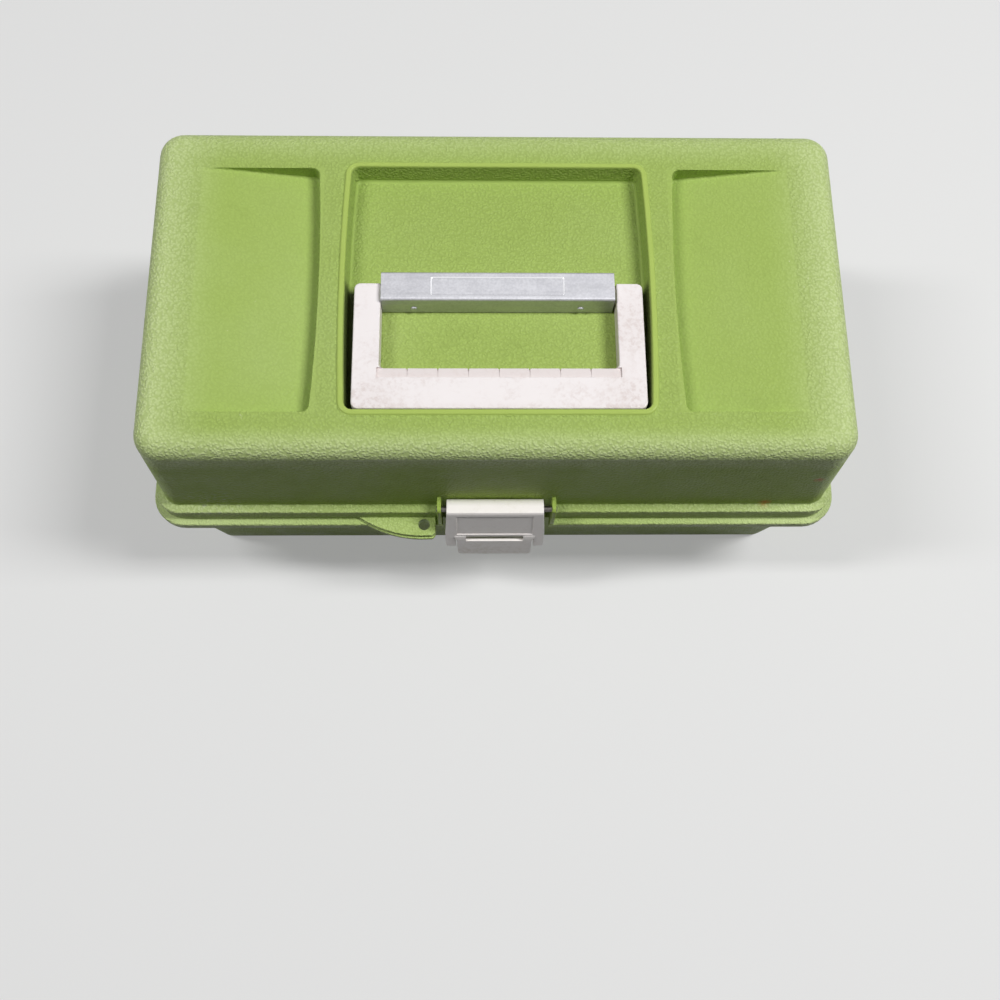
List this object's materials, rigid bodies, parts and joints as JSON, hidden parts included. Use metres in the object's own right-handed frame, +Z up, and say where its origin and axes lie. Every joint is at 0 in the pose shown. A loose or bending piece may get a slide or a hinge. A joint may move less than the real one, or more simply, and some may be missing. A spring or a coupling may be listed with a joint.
{
  "type": "portable tackle box",
  "caption": "Hand-carried moulded box with a recessed folding handle, a front latch, and trays that swing out on arms as the lid opens.",
  "frame": {"origin": "centre of the flat underside of the base", "axes": "+X to the right seen from the latch side, +Y to the hinge, +Z up"},
  "size_m": [0.3726, 0.2179, 0.1735],
  "materials": {
    "green_plastic": "leather-grained moulded plastic",
    "ivory_plastic": "worn off-white moulded plastic",
    "tray_plastic": "smooth moulded plastic",
    "bright_metal": "brushed and slightly scratched",
    "steel": "zinc-plated"
  },
  "bodies": {
    "base": {"base": "green_plastic", "hinge_rod": "steel", "base_rivets_left": "steel", "base_rivets_right": "steel"},
    "lid": {"lid": "green_plastic", "handle_bracket": "bright_metal", "bracket_rivets": "bright_metal", "latch_pin": "steel", "lid_rivet_left": "steel", "lid_rivet_right": "steel"},
    "handle": {"handle": "ivory_plastic"},
    "latch": {"latch": "ivory_plastic"},
    "front_arms": {"front_arm_left": "steel", "front_arm_right": "steel"},
    "rear_arms": {"rear_arm_left": "steel", "rear_arm_right": "steel"},
    "upper_tray": {"upper_tray": "tray_plastic", "upper_tray_dividers": "tray_plastic", "upper_tray_rivets_left": "steel", "upper_tray_rivets_right": "steel"},
    "lower_tray": {"lower_tray": "tray_plastic", "lower_tray_dividers": "tray_plastic", "lower_tray_rivets_left": "steel", "lower_tray_rivets_right": "steel"}
  },
  "joints": [
    {"name": "lid_hinge", "type": "hinge", "parent": "base", "child": "lid", "pos_m": [0, 0.10158, 0.0855], "axis": [-1, 0, 0], "range_deg": [0, 100]},
    {"name": "handle_swing", "type": "hinge", "parent": "lid", "child": "handle", "pos_m": [0, -0.0032, 0.1654], "axis": [-1, 0, 0], "range_deg": [0, 160]},
    {"name": "latch_swing", "type": "hinge", "parent": "lid", "child": "latch", "pos_m": [0, -0.0977, 0.1055], "axis": [-1, 0, 0], "range_deg": [0, 70]},
    {"name": "front_arm_swing", "type": "hinge", "parent": "base", "child": "front_arms", "pos_m": [0, 0.02298, 0.068], "axis": [-1, 0, 0], "range_deg": [0, 100]},
    {"name": "rear_arm_swing", "type": "hinge", "parent": "base", "child": "rear_arms", "pos_m": [0, 0.07798, 0.074], "axis": [-1, 0, 0], "range_deg": [0, 100]},
    {"name": "upper_tray_level", "type": "hinge", "parent": "front_arms", "child": "upper_tray", "pos_m": [0, -0.06988, 0.09], "axis": [-1, 0, 0], "range_deg": [-100, 0]},
    {"name": "lower_tray_level", "type": "hinge", "parent": "front_arms", "child": "lower_tray", "pos_m": [0, -0.03458, 0.073], "axis": [-1, 0, 0], "range_deg": [-100, 0]}
  ],
  "couplings": [
    {"joint": "front_arm_swing", "follows": "lid_hinge", "ratio": 1},
    {"joint": "rear_arm_swing", "follows": "lid_hinge", "ratio": 1},
    {"joint": "upper_tray_level", "follows": "lid_hinge", "ratio": -1},
    {"joint": "lower_tray_level", "follows": "lid_hinge", "ratio": -1}
  ]
}
